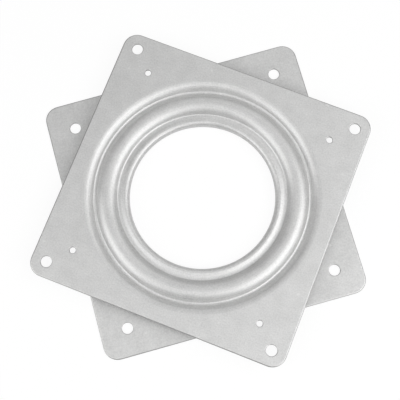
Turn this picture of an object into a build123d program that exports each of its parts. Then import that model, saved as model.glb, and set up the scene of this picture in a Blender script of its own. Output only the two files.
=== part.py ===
from build123d import *
import os
from math import acos, atan2, cos, degrees, floor, hypot, pi, radians, sin

# Lazy susan bearing: two pressed steel plates that turn on a ring of loose balls.
# Millimetres. The turning axis is Z, and the lower plate lies on z = 0.

# Plates
sheet = 1.0
plate_side = 120.0
plate_corner_radius = 6.5
edge_break = 0.2
shown_turn = -37.1

# Screw holes: each set of four is a square, set in from the plate's sides
upper_screw_hole = 5.0
upper_screw_inset = 7.0
upper_small_hole = 2.8
upper_small_inset = 15.9
lower_screw_hole = 5.0
lower_screw_inset = 12.4
lower_small_hole = 2.8
lower_small_inset = 18.5

# Balls and the races pressed for them
ball_diameter = 5.5
ball_gap = 0.12
race_relief = 1.9
race_clearance = 0.15

# Pressed ring: bends are inside radii
edge_margin = 6.4
crest_recess = 0.1
shoulder_bend = 4.2
valley_bend = 1.0
flank_length = 0.25
plate_gap = 0.3

# Flange of the upper plate, which rises towards the rim
flange_flat = 0.1
flange_bend = 4.2
flange_rise = 18.0
flange_run = 0.73

# Collar of the upper plate, rolled under the lower plate
rim_bend = 1.1
fold_bend = 0.4
lip_reach = 2.85
collar_gap = 0.45

# Spacing of the holes in each square
upper_screw_spacing = plate_side - 2 * upper_screw_inset
upper_small_spacing = plate_side - 2 * upper_small_inset
lower_screw_spacing = plate_side - 2 * lower_screw_inset
lower_small_spacing = plate_side - 2 * lower_small_inset

# Heights above the middle plane between the plates
floor_height = plate_gap / 2 + sheet
crest_height = ball_diameter / 2 + race_clearance + sheet
face_height = crest_height + crest_recess
lip_height = floor_height + plate_gap + sheet

# Bends on the face side of the sheet
shoulder_outside = shoulder_bend + sheet
bead_outside = ball_diameter / 2 + race_relief + sheet
rim_outside = rim_bend + sheet
fold_outside = fold_bend + sheet


def flank_angle(bends, drop):
    """Slope of the straight flank between two opposite bends whose radii add up to bends, over a drop."""
    return acos((bends - drop) / hypot(bends, flank_length)) - atan2(flank_length, bends)


def flank_width(bends, angle):
    """Radial width of the two bends and the flank between them."""
    return bends * sin(angle) + flank_length * cos(angle)


# Radii of the pressed ring, worked inwards from the plate's side
shoulder_angle = flank_angle(shoulder_outside + valley_bend, face_height - floor_height)
bead_angle = flank_angle(bead_outside + valley_bend, crest_height - floor_height)
shoulder_radius = plate_side / 2 - edge_margin
valley_radius = shoulder_radius - flank_width(shoulder_outside + valley_bend, shoulder_angle)
bead_half_width = flank_width(bead_outside + valley_bend, bead_angle)
pitch_radius = valley_radius - bead_half_width
flange_radius = pitch_radius - bead_half_width
ring_radius = shoulder_radius + sheet

# The rim and collar follow the flange
rise = radians(flange_rise)
rim_start = flange_radius - flange_flat - flange_bend * sin(rise) - flange_run * cos(rise)
bore_radius = rim_start - rim_outside * (1 + sin(rise))
rim_end = floor_height + flange_bend * (1 - cos(rise)) + flange_run * sin(rise) - rim_outside * cos(rise)
collar_run = rim_end + lip_height - fold_outside
centre_hole_radius = bore_radius + sheet + collar_gap

# Each step is a straight run, then the face-side radius and the turn in degrees of the bend that follows it
ring_steps = [
    (sheet, shoulder_outside, degrees(shoulder_angle)),
    (flank_length, valley_bend, -degrees(shoulder_angle + bead_angle)),
    (flank_length, bead_outside, degrees(2 * bead_angle)),
    (flank_length, valley_bend, -degrees(bead_angle)),
]
collar_steps = [
    (flange_flat, flange_bend, -flange_rise),
    (flange_run, rim_outside, flange_rise + 90),
    (collar_run, fold_outside, 90),
]


def draw_face_line(steps, last_run):
    """Draws the face side of a plate's section, from the flat inwards."""
    point = Vector(ring_radius, face_height)
    heading = Vector(-1, 0)
    for run, bend, turn in steps:
        straight = Line(point, point + heading * run)
        arc = JernArc(straight @ 1, straight % 1, bend, turn)
        point = arc @ 1
        heading = arc % 1
    Line(point, point + heading * last_run)


middle = face_height
upper_plane = Plane.XY.offset(middle + face_height - sheet).rotated((0, 0, shown_turn))
lower_plane = Plane.XY
section_plane = Plane.XZ.shift_origin((0, 0, middle))

os.makedirs("parts", exist_ok=True)

# Upper plate: flat corners, pressed ring, and the collar and lip that pass through the lower plate
with BuildPart() as upper_plate:
    with BuildSketch(upper_plane):
        RectangleRounded(plate_side, plate_side, plate_corner_radius)
        Circle(ring_radius, mode=Mode.SUBTRACT)
    extrude(amount=sheet)
    flat_faces = upper_plate.faces().filter_by(Axis.Z)
    fillet([edge for face in flat_faces for edge in face.outer_wire().edges()], edge_break)
    with BuildSketch(section_plane):
        with BuildLine():
            draw_face_line(ring_steps + collar_steps, lip_reach)
            offset(amount=sheet, side=Side.LEFT)
        make_face()
    revolve(axis=Axis.Z)
    with BuildSketch(upper_plane):
        with GridLocations(upper_screw_spacing, upper_screw_spacing, 2, 2):
            Circle(upper_screw_hole / 2)
        with GridLocations(upper_small_spacing, upper_small_spacing, 2, 2):
            Circle(upper_small_hole / 2)
    extrude(amount=sheet, mode=Mode.SUBTRACT)
upper_plate.part.label = "upper_plate"
export_step(upper_plate.part, "parts/upper_plate.step")

# Lower plate: the same pressing turned over, ending in a plain inner flange clear of the collar
with BuildPart() as lower_plate:
    with BuildSketch(lower_plane):
        RectangleRounded(plate_side, plate_side, plate_corner_radius)
        Circle(ring_radius, mode=Mode.SUBTRACT)
    extrude(amount=sheet)
    flat_faces = lower_plate.faces().filter_by(Axis.Z)
    fillet([edge for face in flat_faces for edge in face.outer_wire().edges()], edge_break)
    with BuildSketch(section_plane):
        with BuildLine():
            draw_face_line(ring_steps, flange_radius - centre_hole_radius)
            offset(amount=sheet, side=Side.LEFT)
        make_face()
        mirror(about=Plane.XZ, mode=Mode.REPLACE)
    revolve(axis=Axis.Z)
    with BuildSketch(lower_plane):
        with GridLocations(lower_screw_spacing, lower_screw_spacing, 2, 2):
            Circle(lower_screw_hole / 2)
        with GridLocations(lower_small_spacing, lower_small_spacing, 2, 2):
            Circle(lower_small_hole / 2)
    extrude(amount=sheet, mode=Mode.SUBTRACT)
lower_plate.part.label = "lower_plate"
export_step(lower_plate.part, "parts/lower_plate.step")

# Balls: as many as the ring holds, one solid each
ball_count = floor(2 * pi * pitch_radius / (ball_diameter + ball_gap))
ball_places = PolarLocations(pitch_radius, ball_count).locations
for number, place in enumerate(ball_places, start=1):
    with BuildPart(Plane(place).offset(middle)) as ball:
        Sphere(ball_diameter / 2)
    ball.part.label = f"ball_{number:02d}"
    export_step(ball.part, f"parts/{ball.part.label}.step")
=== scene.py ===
import math

import bmesh
import bpy
from mathutils import Matrix, Vector


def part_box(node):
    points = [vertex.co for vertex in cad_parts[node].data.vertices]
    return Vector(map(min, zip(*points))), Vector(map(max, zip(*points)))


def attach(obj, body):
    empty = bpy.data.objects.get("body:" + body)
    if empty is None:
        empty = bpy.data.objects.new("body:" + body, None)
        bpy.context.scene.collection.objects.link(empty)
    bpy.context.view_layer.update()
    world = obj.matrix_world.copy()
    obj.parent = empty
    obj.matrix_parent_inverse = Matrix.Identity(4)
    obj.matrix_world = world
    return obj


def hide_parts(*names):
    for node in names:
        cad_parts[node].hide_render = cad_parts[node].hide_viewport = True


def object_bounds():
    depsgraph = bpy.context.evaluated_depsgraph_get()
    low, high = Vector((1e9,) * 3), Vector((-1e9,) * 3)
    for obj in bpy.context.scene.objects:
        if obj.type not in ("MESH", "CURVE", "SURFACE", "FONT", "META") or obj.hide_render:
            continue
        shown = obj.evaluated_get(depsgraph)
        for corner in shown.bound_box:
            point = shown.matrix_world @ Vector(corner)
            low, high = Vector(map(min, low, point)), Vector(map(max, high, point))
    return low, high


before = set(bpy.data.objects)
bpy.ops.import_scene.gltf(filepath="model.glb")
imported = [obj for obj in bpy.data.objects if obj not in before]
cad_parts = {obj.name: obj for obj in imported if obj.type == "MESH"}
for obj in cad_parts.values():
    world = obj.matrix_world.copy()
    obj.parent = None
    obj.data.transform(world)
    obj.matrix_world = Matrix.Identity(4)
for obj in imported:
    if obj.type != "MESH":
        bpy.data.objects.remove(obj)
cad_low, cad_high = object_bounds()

bl_info = {
    "name": "Turntable Bearing",
    "version": (1, 0, 0),
    "blender": (4, 5, 0),
    "location": "3D View > Sidebar > Bearing",
    "description": "Builds a pressed steel turntable bearing, its ball ring and a studio stage",
    "category": "Object",
}

MM = 0.001
QUARTER_TURN = math.pi / 2

# Points nearer than these are one point, where a sweep closes and where a flat meets its walls
SEAM_WELD = 0.001 * MM
FLAT_WELD = 0.002 * MM

# Fineness: the turn of one facet in a bend, the facets of a rounded edge, the ball's subdivisions
BEND_FACET = math.radians(4)
EDGE_FACETS = 4
BALL_SUBDIVISIONS = 4

# Faces that meet at more than this keep a sharp edge
SHARP_ANGLE = math.radians(32)

# Noise textures: their mean, and the detail of most of them
NOISE_MEAN = 0.5
NOISE_DETAIL = 2.0

# Zinc: texture scales, in features per metre. The streaks run along the sheet's X
GRAIN_SCALE = 1500.0
CLOUD_SCALE = 170.0
CLOUD_DETAIL = 3.0
STREAK_SCALE = (160, 1300, 160)
SPECK_SCALE = 130.0
DRAW_SCALE = 2600.0

# Zinc: where a speck ends and where its edge has faded, in parts of its cell
SPECK_END = 0.03
SPECK_FADE = 0.10

# Zinc: how much each kind of mark shows in the colour, the roughness and the relief. Without marks
# the colour lies half way between dark and light
IN_COLOUR = {"grain": 0.95, "clouds": 0.45, "streaks": 0.2, "draw": 0.6, "specks": 0.3}
IN_ROUGHNESS = {"grain": 0.10, "clouds": 0.10, "draw": 0.08}
IN_RELIEF = {"grain": 1.0, "streaks": 0.4, "draw": 0.5}
MID_SHADE = 0.5
RELIEF_STRENGTH = 0.25
RELIEF_DEPTH = 0.01 * MM

# Rubbed valleys: their reach from a valley's middle, where they have faded, and the relief lost
RUB_REACH = 0.4 * MM
RUB_FADE = 1.0 * MM
RUB_LEVELLING = 0.9

# Sheared edges: the reach of their darker colour, which is painted shade, and where it has faded,
# in roundings, and their smoothing
SHEARED_SHADE_REACH = 0.8
SHEARED_SHADE_FADE = 1.1
CUT_SMOOTHING = 0.3

# Balls: colour, roughness, and the grease film's roughness and texture scale
BALL_COLOUR = (0.62, 0.62, 0.63, 1)
BALL_ROUGHNESS = 0.10
FILM_ROUGHNESS = 0.10
FILM_SCALE = 420.0

# Stage, in metres: the softboxes' distance, the floor's half side and its drop under the bearing
SOFTBOX_DISTANCE = 0.8
FLOOR_REACH = 3.0
FLOOR_DROP = 0.05 * MM
FLOOR_COLOUR = (0.9, 0.9, 0.9, 1)
WHITE = (1, 1, 1, 1)

# Camera: the width of its frame in millimetres, and its nearest and furthest view in metres
CAMERA_FRAME = 36.0
CAMERA_NEAR = 0.01
CAMERA_FAR = 20.0

# Softboxes: azimuth and elevation in degrees, then width and height in metres
SOFTBOXES = {
    "right": (321, 50, 1.00, 0.56),
    "right_low": (321, 30, 0.80, 0.40),
    "left": (188, 52, 0.64, 0.34),
    "left_low": (185, 30, 0.64, 0.34),
    "back": (60, 45, 0.80, 0.50),
    "front": (240, 64, 0.50, 0.40),
    "top": (0, 90, 0.60, 0.60),
}

upper_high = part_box("upper_plate")[1]
lower_low, lower_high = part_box("lower_plate")
ball_low, ball_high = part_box("ball_01")
half_height = (upper_high.z - lower_low.z) / 2
ball_nodes = sorted(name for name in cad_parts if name.startswith("ball_"))


# Nodes


class Wire:
    """One output of a node. Arithmetic on it adds Math nodes to the same tree."""

    def __init__(self, net, socket):
        self.net = net
        self.socket = socket

    def apply(self, operation, *others):
        """The result of a Math operation that has no sign in Python."""
        return self.net.maths(operation, self, *others)

    def __add__(self, other):
        return self.net.maths("ADD", self, other)

    def __radd__(self, other):
        return self.net.maths("ADD", other, self)

    def __sub__(self, other):
        return self.net.maths("SUBTRACT", self, other)

    def __rsub__(self, other):
        return self.net.maths("SUBTRACT", other, self)

    def __mul__(self, other):
        return self.net.maths("MULTIPLY", self, other)

    def __rmul__(self, other):
        return self.net.maths("MULTIPLY", other, self)

    def __truediv__(self, other):
        return self.net.maths("DIVIDE", self, other)

    def __rtruediv__(self, other):
        return self.net.maths("DIVIDE", other, self)

    def __mod__(self, other):
        return self.net.maths("MODULO", self, other)

    def __gt__(self, other):
        return self.net.maths("GREATER_THAN", self, other)

    def __lt__(self, other):
        return self.net.maths("LESS_THAN", self, other)


class Made:
    """A node that was added; its outputs come out as wires, by name or number."""

    def __init__(self, net, node):
        self.net = net
        self.node = node

    def __getitem__(self, key):
        return Wire(self.net, self.node.outputs[key])


class Net:
    """A node tree, with one way to add a node to it."""

    def __init__(self, tree):
        self.tree = tree

    def add(self, kind, values=(), **settings):
        node = self.tree.nodes.new(kind)
        for name, value in settings.items():
            setattr(node, name, value)
        pairs = values.items() if isinstance(values, dict) else enumerate(values)
        for key, value in pairs:
            for item in value if isinstance(value, list) else [value]:
                if isinstance(item, Wire):
                    self.tree.links.new(item.socket, node.inputs[key])
                else:
                    node.inputs[key].default_value = item
        return Made(self, node)

    def maths(self, operation, *values):
        return self.add("ShaderNodeMath", values, operation=operation)[0]


def geometry_net(name, inputs):
    """A Geometry Nodes tree with named inputs, as a net and its input wires."""
    tree = bpy.data.node_groups.new(name, "GeometryNodeTree")
    tree.interface.new_socket("Geometry", in_out="OUTPUT", socket_type="NodeSocketGeometry")
    for label, kind in inputs:
        tree.interface.new_socket(label, in_out="INPUT", socket_type=f"NodeSocket{kind}")
    net = Net(tree)
    return net, net.add("NodeGroupInput")


def close_net(net, geometry):
    """Leads the geometry to the tree's output and returns the tree."""
    net.add("NodeGroupOutput", [geometry])
    return net.tree


def set_input(modifier, label, value):
    """Sets a Geometry Nodes modifier's input by the identifier of the socket with that name."""
    for item in modifier.node_group.interface.items_tree:
        if item.item_type == "SOCKET" and item.in_out == "INPUT" and item.name == label:
            modifier[item.identifier] = value
            return
    raise KeyError(f"the tree has no input named {label}")


def grow(name, tree, values):
    """Runs a Geometry Nodes tree once and returns its result as a plain closed mesh object."""
    host = bpy.data.objects.new(f"{name}_host", bpy.data.meshes.new(f"{name}_host"))
    bpy.context.scene.collection.objects.link(host)
    modifier = host.modifiers.new("Grow", "NODES")
    modifier.node_group = tree
    for label, value in values.items():
        set_input(modifier, label, value)
    bpy.context.view_layer.update()
    graph = bpy.context.evaluated_depsgraph_get()
    mesh = bpy.data.meshes.new_from_object(host.evaluated_get(graph), depsgraph=graph)
    mesh.name = name
    host.modifiers.remove(modifier)
    bpy.data.objects.remove(host)
    if not mesh.polygons:
        raise RuntimeError(f"{name} came out empty")
    shape = bmesh.new()
    shape.from_mesh(mesh)
    bmesh.ops.recalc_face_normals(shape, faces=shape.faces)
    open_edges = [edge for edge in shape.edges if not edge.is_manifold]
    if open_edges:
        raise RuntimeError(f"{name} has {len(open_edges)} open edges")
    shape.to_mesh(mesh)
    shape.free()
    # The parts that were joined leave empty slots
    while None in mesh.materials[:]:
        mesh.materials.pop(index=mesh.materials[:].index(None))
    piece = bpy.data.objects.new(name, mesh)
    bpy.context.scene.collection.objects.link(piece)
    return piece


# Sections of the pressed sheet, as points (radius, height)


def flank_angle(bends, drop, flank):
    """Slope of the straight flank between two opposite bends whose radii add up to bends."""
    return math.acos((bends - drop) / math.hypot(bends, flank)) - math.atan2(flank, bends)


def flank_width(bends, angle, flank):
    """Radial width of the two bends and the flank between them."""
    return bends * math.sin(angle) + flank * math.cos(angle)


def trace(start, steps, last_run):
    """Points and normals along straight runs and bends, from the flat inwards."""
    place, heading = Vector(start), Vector((-1, 0))
    line = []

    def drop_point():
        line.append((place.copy(), Vector((-heading.y, heading.x))))

    drop_point()
    for run, bend, turn in steps:
        place = place + heading * run
        drop_point()
        count = max(2, math.ceil(abs(turn) / BEND_FACET))
        side = math.copysign(1, turn)
        centre = place + Vector((-heading.y, heading.x)) * bend * side
        spin = Matrix.Rotation(turn / count, 2)
        for _ in range(count):
            place = centre + spin @ (place - centre)
            heading = spin @ heading
            drop_point()
    place = place + heading * last_run
    drop_point()
    return line


def sheet_section(line, sheet):
    """The open outline of the sheet: down its face, round its end and back along its other side."""
    face = [place for place, _ in line]
    back = [place + inward * sheet for place, inward in line]
    return face + back[::-1]


def corner_points(outside, low, high, edge, sense):
    """A sheared edge from top to bottom: rounded corners, and as wide a strip of each flat.

    The sense is 1 for a plate's outline and -1 for a hole.
    """
    turns = [QUARTER_TURN * step / EDGE_FACETS for step in range(EDGE_FACETS + 1)]
    rounding = [(edge * (1 - math.sin(turn)), edge * (1 - math.cos(turn))) for turn in turns]
    top = [Vector((outside - sense * inwards, high - down)) for inwards, down in rounding]
    bottom = [Vector((outside - sense * inwards, low + up)) for up, inwards in rounding]
    strip = outside - sense * 2 * edge
    return [Vector((strip, high)), *top, *bottom, Vector((strip, low))]


def section_object(name, points):
    """A chain of edges that a Geometry Nodes tree reads as a section."""
    mesh = bpy.data.meshes.new(name)
    edges = [(number, number + 1) for number in range(len(points) - 1)]
    mesh.from_pydata([(point.x, 0, point.y) for point in points], edges, [])
    thing = bpy.data.objects.new(name, mesh)
    bpy.context.scene.collection.objects.link(thing)
    return thing


# Geometry Nodes trees


def sweep_tree():
    """Carries a section once round a circle, or round a square with round corners."""
    inputs = [("Section", "Geometry"), ("Corner Shift", "Float"), ("Steps", "Int")]
    net, given = geometry_net("Sweep round", inputs)
    section, shift, steps = given["Section"], given["Corner Shift"], given["Steps"]
    count = net.add("GeometryNodeAttributeDomainSize", [section], component="MESH")["Point Count"]
    columns = steps + 1
    # Four quarters, and one column more that closes the sweep
    lattice = {"Vertices X": columns * 4 + 1, "Vertices Y": count}
    grid = net.add("GeometryNodeMeshGrid", lattice)["Mesh"]
    index = net.add("GeometryNodeInputIndex")[0]
    row = index % count
    column = ((index - row) / count + 0.5).apply("FLOOR")
    along = column % columns
    quarter = (column - along) / columns
    angle = (quarter + along / steps) * QUARTER_TURN
    corner = (quarter + 0.5) * QUARTER_TURN
    place = net.add("GeometryNodeInputPosition")[0]
    sample = net.add(
        "GeometryNodeSampleIndex",
        {"Geometry": section, "Value": place, "Index": row},
        data_type="FLOAT_VECTOR",
    )["Value"]
    parts = net.add("ShaderNodeSeparateXYZ", [sample])
    radius, height = parts["X"], parts["Z"]
    push = shift * math.sqrt(2)
    x = radius * angle.apply("COSINE") + push * corner.apply("COSINE")
    y = radius * angle.apply("SINE") + push * corner.apply("SINE")
    target = net.add("ShaderNodeCombineXYZ", [x, y, height])[0]
    moved = net.add("GeometryNodeSetPosition", {"Geometry": grid, "Position": target})["Geometry"]
    merged = net.add("GeometryNodeMergeByDistance", {"Geometry": moved, "Distance": SEAM_WELD})[0]
    return close_net(net, merged)


def smoothed(net, geometry):
    """The geometry with smooth faces."""
    values = {"Geometry": geometry, "Shade Smooth": True}
    return net.add("GeometryNodeSetShadeSmooth", values, domain="FACE")[0]


def finished(net, geometry, finish):
    """The end of a piece's tree: real meshes with the piece's finish."""
    real = net.add("GeometryNodeRealizeInstances", [geometry])[0]
    dressed = net.add("GeometryNodeSetMaterial", {"Geometry": real, "Material": finish})[0]
    return close_net(net, dressed)


def plate_tree(sweep):
    """A square plate with round corners and two squares of holes, joined to its pressed ring."""
    inputs = [
        ("Ring Section", "Object"),
        ("Edge Section", "Object"),
        ("Screw Hole Section", "Object"),
        ("Small Hole Section", "Object"),
        ("Corner Shift", "Float"),
        ("Screw Spacing", "Float"),
        ("Small Spacing", "Float"),
        ("Top", "Float"),
        ("Bottom", "Float"),
        ("Turn", "Float"),
        ("Ring Steps", "Int"),
        ("Hole Steps", "Int"),
        ("Finish", "Material"),
    ]
    net, given = geometry_net("Pressed plate", inputs)

    def swept(label, shift, steps):
        section = net.add("GeometryNodeObjectInfo", {"Object": given[label]})["Geometry"]
        return net.add("GeometryNodeGroup", [section, shift, steps], node_tree=sweep)[0]

    def square_of(hole, spacing):
        corners = net.add(
            "GeometryNodeMeshGrid",
            {"Size X": spacing, "Size Y": spacing, "Vertices X": 2, "Vertices Y": 2},
        )["Mesh"]
        placed = net.add("GeometryNodeInstanceOnPoints", {"Points": corners, "Instance": hole})[0]
        return net.add("GeometryNodeRealizeInstances", [placed])[0]

    steps = given["Hole Steps"]
    ring = swept("Ring Section", 0.0, given["Ring Steps"])
    edge = swept("Edge Section", given["Corner Shift"], steps)
    screws = square_of(swept("Screw Hole Section", 0.0, steps), given["Screw Spacing"])
    smalls = square_of(swept("Small Hole Section", 0.0, steps), given["Small Spacing"])
    walls = net.add("GeometryNodeJoinGeometry", {"Geometry": [ring, edge, screws, smalls]})[0]

    # Each flat fills the open edges that the walls have at its height
    rim = net.add("GeometryNodeInputMeshEdgeNeighbors")["Face Count"] < 2
    height = net.add("ShaderNodeSeparateXYZ", [net.add("GeometryNodeInputPosition")[0]])["Z"]
    middle = (given["Top"] + given["Bottom"]) / 2
    flats = []
    for wanted, level in ((height > middle, given["Top"]), (height < middle, given["Bottom"])):
        open_edges = {"Mesh": walls, "Selection": rim * wanted}
        loops = net.add("GeometryNodeMeshToCurve", open_edges)["Curve"]
        filled = net.add("GeometryNodeFillCurve", {"Curve": loops})["Mesh"]
        lift = net.add("ShaderNodeCombineXYZ", [0.0, 0.0, level])[0]
        flats.append(net.add("GeometryNodeTransform", {"Geometry": filled, "Translation": lift})[0])
    whole = net.add("GeometryNodeJoinGeometry", {"Geometry": [walls, *flats]})[0]
    whole = net.add("GeometryNodeMergeByDistance", {"Geometry": whole, "Distance": FLAT_WELD})[0]
    whole = smoothed(net, whole)
    steep = net.add("GeometryNodeInputMeshEdgeAngle")["Unsigned Angle"] > SHARP_ANGLE
    whole = net.add(
        "GeometryNodeSetShadeSmooth",
        {"Geometry": whole, "Selection": steep, "Shade Smooth": False},
        domain="EDGE",
    )[0]
    spin = net.add("ShaderNodeCombineXYZ", [0.0, 0.0, given["Turn"]])[0]
    whole = net.add("GeometryNodeTransform", {"Geometry": whole, "Rotation": spin})[0]
    return finished(net, whole, given["Finish"])


def ball_tree():
    """A ring of balls."""
    inputs = [
        ("Ball Radius", "Float"),
        ("Ring Radius", "Float"),
        ("Height", "Float"),
        ("Count", "Int"),
        ("Finish", "Material"),
    ]
    net, given = geometry_net("Ball ring", inputs)
    circle = {"Vertices": given["Count"], "Radius": given["Ring Radius"]}
    ring = net.add("GeometryNodeMeshCircle", circle)[0]
    round_shape = {"Radius": given["Ball Radius"], "Subdivisions": BALL_SUBDIVISIONS}
    ball = smoothed(net, net.add("GeometryNodeMeshIcoSphere", round_shape)["Mesh"])
    balls = net.add("GeometryNodeInstanceOnPoints", {"Points": ring, "Instance": ball})[0]
    lift = net.add("ShaderNodeCombineXYZ", [0.0, 0.0, given["Height"]])[0]
    balls = net.add("GeometryNodeTransform", {"Geometry": balls, "Translation": lift})[0]
    return finished(net, balls, given["Finish"])


# Finishes


def shader_net(name):
    """A material with an empty tree, as the material and its net."""
    material = bpy.data.materials.new(name)
    material.use_nodes = True
    material.node_tree.nodes.clear()
    return material, Net(material.node_tree)


def mixed(net, factor, first, second):
    """A colour between two colours. A Mix node has its colour sockets after its others."""
    return net.add("ShaderNodeMix", {0: factor, 6: first, 7: second}, data_type="RGBA")[2]


def noise(net, values, **settings):
    """Noise about zero."""
    texture = net.add("ShaderNodeTexNoise", {"Detail": NOISE_DETAIL, **values}, **settings)
    return texture["Fac"] - NOISE_MEAN


def weighed(start, marks, weights):
    """A starting value and each of the marks by its weight."""
    return sum((marks[name] * weight for name, weight in weights.items()), start)


def sheared_and_shade_band(net, rolled, sheared):
    """One on the rounding of the plate's sheared edges and holes, and nothing on its flats. There
    the colour gets its painted shade.
    """
    half, corner, band, hole_band, holes = sheared
    parts = net.add("ShaderNodeSeparateXYZ", [rolled])
    x, y = parts["X"].apply("ABSOLUTE"), parts["Y"].apply("ABSOLUTE")

    def reach(centre, least):
        across = (x - centre).apply("MAXIMUM", least)
        along = (y - centre).apply("MAXIMUM", least)
        return (across * across + along * along).apply("SQRT")

    inside = corner - reach(half - corner, 0.0)
    for radius, centre in holes:
        inside = inside.apply("MINIMUM", (reach(centre, -half) - radius) * (band / hole_band))
    return net.add("ShaderNodeMapRange", [inside, SHEARED_SHADE_REACH * band, SHEARED_SHADE_FADE * band, 1.0, 0.0])[0]


def zinc_plate(name, looks, turn, ring, valleys, sheared):
    """Zinc on pressed sheet, with its marks, rubbed valleys, and sheared edges darkened by painted
    shade.
    """
    material, net = shader_net(name)
    place = net.add("ShaderNodeTexCoord")["Object"]
    rolled = net.add("ShaderNodeMapping", {"Vector": place, "Rotation": (0, 0, -turn)})[0]
    stretched = net.add("ShaderNodeMapping", {"Vector": rolled, "Scale": STREAK_SCALE})[0]
    cells = net.add("ShaderNodeTexVoronoi", {"Vector": rolled, "Scale": SPECK_SCALE})["Distance"]
    parts = net.add("ShaderNodeSeparateXYZ", [place])
    radius = (parts["X"] * parts["X"] + parts["Y"] * parts["Y"]).apply("SQRT")
    circles = noise(net, {"W": radius, "Scale": DRAW_SCALE}, noise_dimensions="1D")
    marks = {
        "grain": noise(net, {"Vector": rolled, "Scale": GRAIN_SCALE}),
        "clouds": noise(net, {"Vector": rolled, "Scale": CLOUD_SCALE, "Detail": CLOUD_DETAIL}),
        "streaks": noise(net, {"Vector": stretched, "Scale": 1.0}),
        "draw": circles * (radius < ring),
        "specks": net.add("ShaderNodeMapRange", [cells, SPECK_END, SPECK_FADE, 1.0, 0.0])[0],
    }
    # The band on the sheared edges: smoother and more metallic there, and its colour darkened as
    # painted shade
    cut = sheared_and_shade_band(net, rolled, sheared)
    outer, inner = ((radius - valley).apply("ABSOLUTE") for valley in valleys)
    away = outer.apply("MINIMUM", inner)
    rubbed = net.add("ShaderNodeMapRange", [away, RUB_REACH, RUB_FADE, 1.0, 0.0])[0]

    shade = weighed(MID_SHADE, marks, IN_COLOUR).apply("MAXIMUM", 0.0)
    dark = (*(value * (1 - looks.fleck) for value in looks.zinc), 1)
    light = (*(value * (1 + looks.fleck) for value in looks.zinc), 1)
    # Painted shade: on the sheared edges the colour is mixed towards the darker edge colour
    colour = mixed(net, cut, mixed(net, shade, dark, light), (*looks.cut, 1))
    metal = looks.metal + cut * (1 - looks.metal)
    rough = weighed(looks.rough, marks, IN_ROUGHNESS)
    rough = rough * (1 - cut * CUT_SMOOTHING) * (1 - rubbed * looks.rubbed)
    height = weighed(0.0, marks, IN_RELIEF) * (1 - rubbed * RUB_LEVELLING)
    relief = {"Strength": RELIEF_STRENGTH, "Distance": RELIEF_DEPTH, "Height": height}
    bump = net.add("ShaderNodeBump", relief)[0]
    shader = net.add(
        "ShaderNodeBsdfPrincipled",
        {"Base Color": colour, "Metallic": metal, "Roughness": rough, "Normal": bump},
    )[0]
    net.add("ShaderNodeOutputMaterial", [shader])
    return material


def ball_chrome(name):
    """Polished bearing steel with a film of grease."""
    material, net = shader_net(name)
    place = net.add("ShaderNodeTexCoord")["Object"]
    values = {"Vector": place, "Scale": FILM_SCALE, "Detail": NOISE_DETAIL}
    rough = BALL_ROUGHNESS + net.add("ShaderNodeTexNoise", values)["Fac"] * FILM_ROUGHNESS
    shader = net.add(
        "ShaderNodeBsdfPrincipled",
        {"Base Color": BALL_COLOUR, "Metallic": 1.0, "Roughness": rough},
    )[0]
    net.add("ShaderNodeOutputMaterial", [shader])
    return material


def white_share(net, seen, mirrored):
    """How much plain white a ray meets: one share in view, one in mirrors, none for other light."""
    rays = net.add("ShaderNodeLightPath")
    reflected = (rays["Is Glossy Ray"] + rays["Is Transmission Ray"]).apply("MINIMUM", 1.0)
    return rays["Is Camera Ray"] * seen + reflected * mirrored


def white_floor(name, stage):
    """A matt white floor that keeps the object's shadow."""
    material, net = shader_net(name)
    matt = net.add("ShaderNodeBsdfDiffuse", {"Color": FLOOR_COLOUR})[0]
    white = net.add("ShaderNodeEmission", {"Color": WHITE, "Strength": stage.white})[0]
    whiteness = white_share(net, stage.glow, stage.mirrored)
    shader = net.add("ShaderNodeMixShader", [whiteness, matt, white])[0]
    net.add("ShaderNodeOutputMaterial", [shader])
    return material


def white_surround(name, stage):
    """A dim surround that looks as white as the floor."""
    world = bpy.data.worlds.new(name)
    world.use_nodes = True
    world.node_tree.nodes.clear()
    net = Net(world.node_tree)
    whiteness = white_share(net, stage.glow * stage.white, stage.mirrored)
    strength = stage.world + whiteness * (1 - stage.world)
    surround = net.add("ShaderNodeBackground", {"Color": WHITE, "Strength": strength})[0]
    net.add("ShaderNodeOutputWorld", [surround])
    return world


# Settings


def length(name, description, default):
    return bpy.props.FloatProperty(
        name=name, description=description, default=default, unit="LENGTH", precision=5
    )


def power(name, description, default):
    return bpy.props.FloatProperty(
        name=name, description=description, default=default, unit="POWER"
    )


def share(name, description, default):
    return bpy.props.FloatProperty(
        name=name, description=description, default=default, min=0, max=1, subtype="FACTOR"
    )


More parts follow.
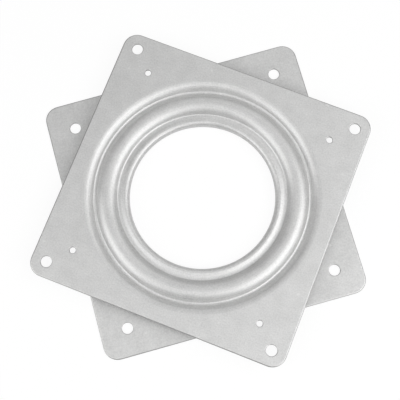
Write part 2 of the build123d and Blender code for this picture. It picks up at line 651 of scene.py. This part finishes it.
class BearingSizes(bpy.types.PropertyGroup):
    side: length("Side", "Side of each square plate", lower_high.x - lower_low.x)
    corner: length("Corner Radius", "Radius of the plates' corners", 6.5 * MM)
    sheet: length("Sheet", "Thickness of the sheet", 1.0 * MM)
    edge: length("Edge Break", "Rounding of the sheared edges", 0.45 * MM)
    hole_edge: length("Hole Edge", "Rounding of the punched holes' edges", 0.25 * MM)
    screw_hole: length("Screw Hole", "Diameter of the screw holes", 5.0 * MM)
    small_hole: length("Small Hole", "Diameter of the small holes", 2.8 * MM)
    upper_screw_inset: length(
        "Upper Screw Inset", "Screw holes in from the upper plate's sides", 7.0 * MM
    )
    upper_small_inset: length(
        "Upper Small Inset", "Small holes in from the upper plate's sides", 15.9 * MM
    )
    lower_screw_inset: length(
        "Lower Screw Inset", "Screw holes in from the lower plate's sides", 12.4 * MM
    )
    lower_small_inset: length(
        "Lower Small Inset", "Small holes in from the lower plate's sides", 18.5 * MM
    )
    margin: length("Edge Margin", "From a plate's side to the start of its pressed ring", 6.4 * MM)
    recess: length("Crest Recess", "Depth of the bead's crest under the plate's face", 0.1 * MM)
    shoulder: length("Shoulder Bend", "Outside radius of the shoulder", 5.2 * MM)
    bead: length("Bead Bend", "Outside radius of the bead", 5.65 * MM)
    valley: length("Valley Bend", "Radius of the valleys beside the bead", 1.0 * MM)
    flank: length("Flank", "Straight part of each flank", 0.25 * MM)
    flange_flat: length("Flange Flat", "Level part of the upper plate's sunken flange", 0.1 * MM)
    flange_bend: length("Flange Bend", "Radius of the flange's rise", 4.2 * MM)
    flange: length("Flange Run", "Straight part of the flange's rise", 0.73 * MM)
    gap: length("Plate Gap", "Gap between the two plates' valleys", 0.3 * MM)
    rim: length("Rim Bend", "Outside radius of the rim", 2.1 * MM)
    fold: length("Fold Bend", "Outside radius of the fold under the lower plate", 1.4 * MM)
    lip: length("Lip Reach", "Straight part of the lip under the lower plate", 2.85 * MM)
    collar_gap: length("Collar Gap", "Gap between the collar and the lower plate", 0.45 * MM)
    rise: bpy.props.FloatProperty(
        name="Flange Rise",
        description="Slope of the flange up to the rim",
        default=math.radians(18),
        subtype="ANGLE",
    )
    turn: bpy.props.FloatProperty(
        name="Upper Turn",
        description="Turn of the upper plate over the lower plate",
        default=math.radians(-37.1),
        subtype="ANGLE",
    )
    ring_steps: bpy.props.IntProperty(
        name="Ring Steps", description="Steps in a quarter of the pressed ring", default=56, min=8
    )
    hole_steps: bpy.props.IntProperty(
        name="Hole Steps", description="Steps in a quarter of a hole or corner", default=10, min=3
    )


class BearingLooks(bpy.types.PropertyGroup):
    zinc: bpy.props.FloatVectorProperty(
        name="Zinc",
        description="Colour of the plated sheet",
        default=(0.675, 0.675, 0.67),
        subtype="COLOR",
    )
    fleck: share("Fleck", "How far the sheet's colour varies each way", 0.2)
    metal: share("Bare Metal", "How far the dull sheet shines like bare metal", 0.53)
    rough: share("Roughness", "Mean roughness of the sheet", 0.42)
    rubbed: share("Rubbed", "How much smoother the press rubs the ring's valleys", 0.16)
    # A darker colour for the sheared edges, which paints shade along them
    cut: bpy.props.FloatVectorProperty(
        name="Cut Edge",
        description="Colour of the sheared edges",
        default=(0.45, 0.45, 0.445),
        subtype="COLOR",
    )


class BearingStage(bpy.types.PropertyGroup):
    camera_place: bpy.props.FloatVectorProperty(
        name="Camera Place",
        description="Where the camera stands",
        default=(-15.03 * MM, -90.56 * MM, 425.64 * MM),
        subtype="XYZ",
        unit="LENGTH",
    )
    camera_aim: bpy.props.FloatVectorProperty(
        name="Camera Aim",
        description="The point that the camera looks at",
        default=(-1.579 * MM, -2.134 * MM, 8.0 * MM),
        subtype="XYZ",
        unit="LENGTH",
    )
    camera_roll: bpy.props.FloatProperty(
        name="Camera Roll",
        description="Turn of the camera about its own line of sight",
        default=math.radians(-7.036),
        subtype="ANGLE",
    )
    camera_lens: bpy.props.FloatProperty(
        name="Lens", description="Focal length for a 36 mm frame", default=86.41, unit="CAMERA"
    )
    right: power("Right Light", "Power of the softbox on the right", 3.6)
    right_low: power("Low Right Light", "Power of the softbox low on the right", 0.66)
    left: power("Left Light", "Power of the softbox on the left", 1.0)
    left_low: power("Low Left Light", "Power of the softbox low on the left", 1.35)
    back: power("Back Light", "Power of the softbox at the back", 0.74)
    front: power("Front Light", "Power of the softbox at the front", 0.24)
    top: power("Top Light", "Power of the softbox overhead", 0.6)
    world: share("Surround", "Strength of the surround's own light", 0.03)
    white: bpy.props.FloatProperty(
        name="White", description="Strength of the floor's plain white", default=1.04
    )
    glow: share("White In View", "Share of plain white in the floor, the rest being matt", 0.88)
    mirrored: share("White In Mirrors", "Share of plain white in what metal mirrors", 0.36)


# Pieces and stage


def ring_slopes(sizes):
    """Slopes of the shoulder and the bead, and the radii of the bead's outer and inner valley."""
    depth = half_height - sizes.gap / 2 - sizes.sheet
    shoulder = flank_angle(sizes.shoulder + sizes.valley, depth, sizes.flank)
    bead = flank_angle(sizes.bead + sizes.valley, depth - sizes.recess, sizes.flank)
    shoulder_width = flank_width(sizes.shoulder + sizes.valley, shoulder, sizes.flank)
    bead_half = flank_width(sizes.bead + sizes.valley, bead, sizes.flank)
    outer = sizes.side / 2 - sizes.margin - shoulder_width
    return shoulder, bead, (outer, outer - 2 * bead_half)


def ring_line(sizes, upper):
    """The face side of a plate's section, about the middle plane, with its inner end."""
    valley_height = sizes.gap / 2 + sizes.sheet
    shoulder, bead, (_, flange_radius) = ring_slopes(sizes)
    start = sizes.side / 2 - sizes.margin + sizes.sheet
    rise = sizes.rise
    bore = (
        flange_radius
        - sizes.flange_flat
        - sizes.flange_bend * math.sin(rise)
        - sizes.flange * math.cos(rise)
        - sizes.rim * (1 + math.sin(rise))
    )
    steps = [
        (sizes.sheet, sizes.shoulder, shoulder),
        (sizes.flank, sizes.valley, -(shoulder + bead)),
        (sizes.flank, sizes.bead, 2 * bead),
        (sizes.flank, sizes.valley, -bead),
    ]
    if not upper:
        inner_flange = flange_radius - bore - sizes.sheet - sizes.collar_gap
        return trace((start, half_height), steps, inner_flange)
    rim_end = (
        valley_height
        + sizes.flange_bend * (1 - math.cos(rise))
        + sizes.flange * math.sin(rise)
        - sizes.rim * math.cos(rise)
    )
    collar = rim_end + valley_height + sizes.gap + sizes.sheet - sizes.fold
    steps += [
        (sizes.flange_flat, sizes.flange_bend, -rise),
        (sizes.flange, sizes.rim, rise + QUARTER_TURN),
        (collar, sizes.fold, QUARTER_TURN),
    ]
    return trace((start, half_height), steps, sizes.lip)


def make_plate(name, upper, turn):
    """A pressed plate as one closed mesh."""
    sizes = bpy.context.scene.bearing_sizes
    looks = bpy.context.scene.bearing_looks
    half = sizes.side / 2
    screw = sizes.screw_hole / 2
    small = sizes.small_hole / 2
    if upper:
        flip, low, high = 1, upper_high.z - sizes.sheet, upper_high.z
        screw_place, small_place = half - sizes.upper_screw_inset, half - sizes.upper_small_inset
    else:
        flip, low, high = -1, lower_low.z, lower_low.z + sizes.sheet
        screw_place, small_place = half - sizes.lower_screw_inset, half - sizes.lower_small_inset

    section = sheet_section(ring_line(sizes, upper), sizes.sheet)
    outlines = {
        "Ring Section": [Vector((point.x, half_height + flip * point.y)) for point in section],
        "Edge Section": corner_points(sizes.corner, low, high, sizes.edge, 1),
        "Screw Hole Section": corner_points(screw, low, high, sizes.hole_edge, -1),
        "Small Hole Section": corner_points(small, low, high, sizes.hole_edge, -1),
    }
    sections = {
        label: section_object(label.lower().replace(" ", "_"), points)
        for label, points in outlines.items()
    }

    holes = ((screw, screw_place), (small, small_place))
    sheared = (half, sizes.corner, sizes.edge, sizes.hole_edge, holes)
    valleys = ring_slopes(sizes)[2]
    finish = zinc_plate(f"{name}_zinc", looks, turn, half - sizes.margin, valleys, sheared)
    piece = grow(
        name,
        plate_tree(sweep_tree()),
        {
            **sections,
            "Corner Shift": half - sizes.corner,
            "Screw Spacing": 2 * screw_place,
            "Small Spacing": 2 * small_place,
            "Top": high,
            "Bottom": low,
            "Turn": turn,
            "Ring Steps": sizes.ring_steps,
            "Hole Steps": sizes.hole_steps,
            "Finish": finish,
        },
    )
    for thing in sections.values():
        bpy.data.objects.remove(thing)
    return piece


class BEARING_OT_upper_plate(bpy.types.Operator):
    """Makes the upper plate, with its pressed ring, rim and rolled collar"""

    bl_idname = "bearing.upper_plate"
    bl_label = "Upper Plate"

    def execute(self, context):
        piece = make_plate("upper_sheet", True, context.scene.bearing_sizes.turn)
        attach(piece, "turntable")
        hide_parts("upper_plate")
        return {"FINISHED"}


class BEARING_OT_lower_plate(bpy.types.Operator):
    """Makes the lower plate, with its pressed ring and inner flange"""

    bl_idname = "bearing.lower_plate"
    bl_label = "Lower Plate"

    def execute(self, context):
        piece = make_plate("lower_sheet", False, 0.0)
        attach(piece, "base")
        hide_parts("lower_plate")
        return {"FINISHED"}


class BEARING_OT_balls(bpy.types.Operator):
    """Makes the ring of balls between the plates"""

    bl_idname = "bearing.balls"
    bl_label = "Ball Ring"

    def execute(self, context):
        centre = (ball_low + ball_high) / 2
        piece = grow(
            "ball_set",
            ball_tree(),
            {
                "Ball Radius": (ball_high.z - ball_low.z) / 2,
                "Ring Radius": math.hypot(centre.x, centre.y),
                "Height": centre.z,
                "Count": len(ball_nodes),
                "Finish": ball_chrome("ball_chrome"),
            },
        )
        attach(piece, "ball_ring")
        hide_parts(*ball_nodes)
        return {"FINISHED"}


def softbox(name, azimuth, elevation, width, height, watts):
    """A soft rectangular lamp, turned to the bearing."""
    lamp = bpy.data.lights.new(name, "AREA")
    lamp.shape = "RECTANGLE"
    lamp.size = width
    lamp.size_y = height
    lamp.energy = watts
    thing = bpy.data.objects.new(name, lamp)
    bpy.context.scene.collection.objects.link(thing)
    turn, tilt = math.radians(azimuth), math.radians(elevation)
    way = Vector((math.cos(turn) * math.cos(tilt), math.sin(turn) * math.cos(tilt), math.sin(tilt)))
    thing.location = way * SOFTBOX_DISTANCE
    thing.rotation_euler = (-way).to_track_quat("-Z", "Y").to_euler()


class BEARING_OT_stage(bpy.types.Operator):
    """Makes the floor, the surround, the softboxes and the camera"""

    bl_idname = "bearing.stage"
    bl_label = "Studio Stage"

    def execute(self, context):
        scene = context.scene
        stage = scene.bearing_stage

        mesh = bpy.data.meshes.new("floor")
        signs = ((-1, -1), (1, -1), (1, 1), (-1, 1))
        corners = [(x * FLOOR_REACH, y * FLOOR_REACH, 0) for x, y in signs]
        mesh.from_pydata(corners, [], [(0, 1, 2, 3)])
        mesh.materials.append(white_floor("floor_white", stage))
        floor = bpy.data.objects.new("floor", mesh)
        scene.collection.objects.link(floor)
        floor.location.z = cad_low.z - FLOOR_DROP

        scene.world = white_surround("surround", stage)

        for name, layout in SOFTBOXES.items():
            softbox(f"{name}_softbox", *layout, getattr(stage, name))

        data = bpy.data.cameras.new("camera")
        data.lens = stage.camera_lens
        data.sensor_width = CAMERA_FRAME
        data.clip_start = CAMERA_NEAR
        data.clip_end = CAMERA_FAR
        camera = bpy.data.objects.new("camera", data)
        scene.collection.objects.link(camera)
        place, aim = Vector(stage.camera_place), Vector(stage.camera_aim)
        sight = (aim - place).to_track_quat("-Z", "Y")
        roll = Matrix.Rotation(stage.camera_roll, 4, "Z")
        camera.matrix_world = Matrix.Translation(place) @ sight.to_matrix().to_4x4() @ roll
        scene.camera = camera
        scene.view_settings.view_transform = "Standard"
        return {"FINISHED"}


class BEARING_PT_panel(bpy.types.Panel):
    """Lists the bearing's settings, and its pieces in the order in which they are made"""

    bl_idname = "BEARING_PT_panel"
    bl_label = "Turntable Bearing"
    bl_space_type = "VIEW_3D"
    bl_region_type = "UI"
    bl_category = "Bearing"

    def draw(self, context):
        layout = self.layout
        scene = context.scene
        for group in (scene.bearing_sizes, scene.bearing_looks, scene.bearing_stage):
            column = layout.column(align=True)
            for name in group.__annotations__:
                column.prop(group, name)
        for operator in operators:
            layout.operator(operator.bl_idname)


operators = (BEARING_OT_upper_plate, BEARING_OT_lower_plate, BEARING_OT_balls, BEARING_OT_stage)
groups = {
    "bearing_sizes": BearingSizes,
    "bearing_looks": BearingLooks,
    "bearing_stage": BearingStage,
}


def register():
    for item in (*groups.values(), *operators, BEARING_PT_panel):
        bpy.utils.register_class(item)
    for name, group in groups.items():
        setattr(bpy.types.Scene, name, bpy.props.PointerProperty(type=group))


def unregister():
    for name in groups:
        delattr(bpy.types.Scene, name)
    for item in reversed((*groups.values(), *operators, BEARING_PT_panel)):
        bpy.utils.unregister_class(item)


def main():
    register()
    bpy.ops.bearing.upper_plate()
    bpy.ops.bearing.lower_plate()
    bpy.ops.bearing.balls()
    bpy.ops.bearing.stage()


if __name__ == "__main__":
    main()
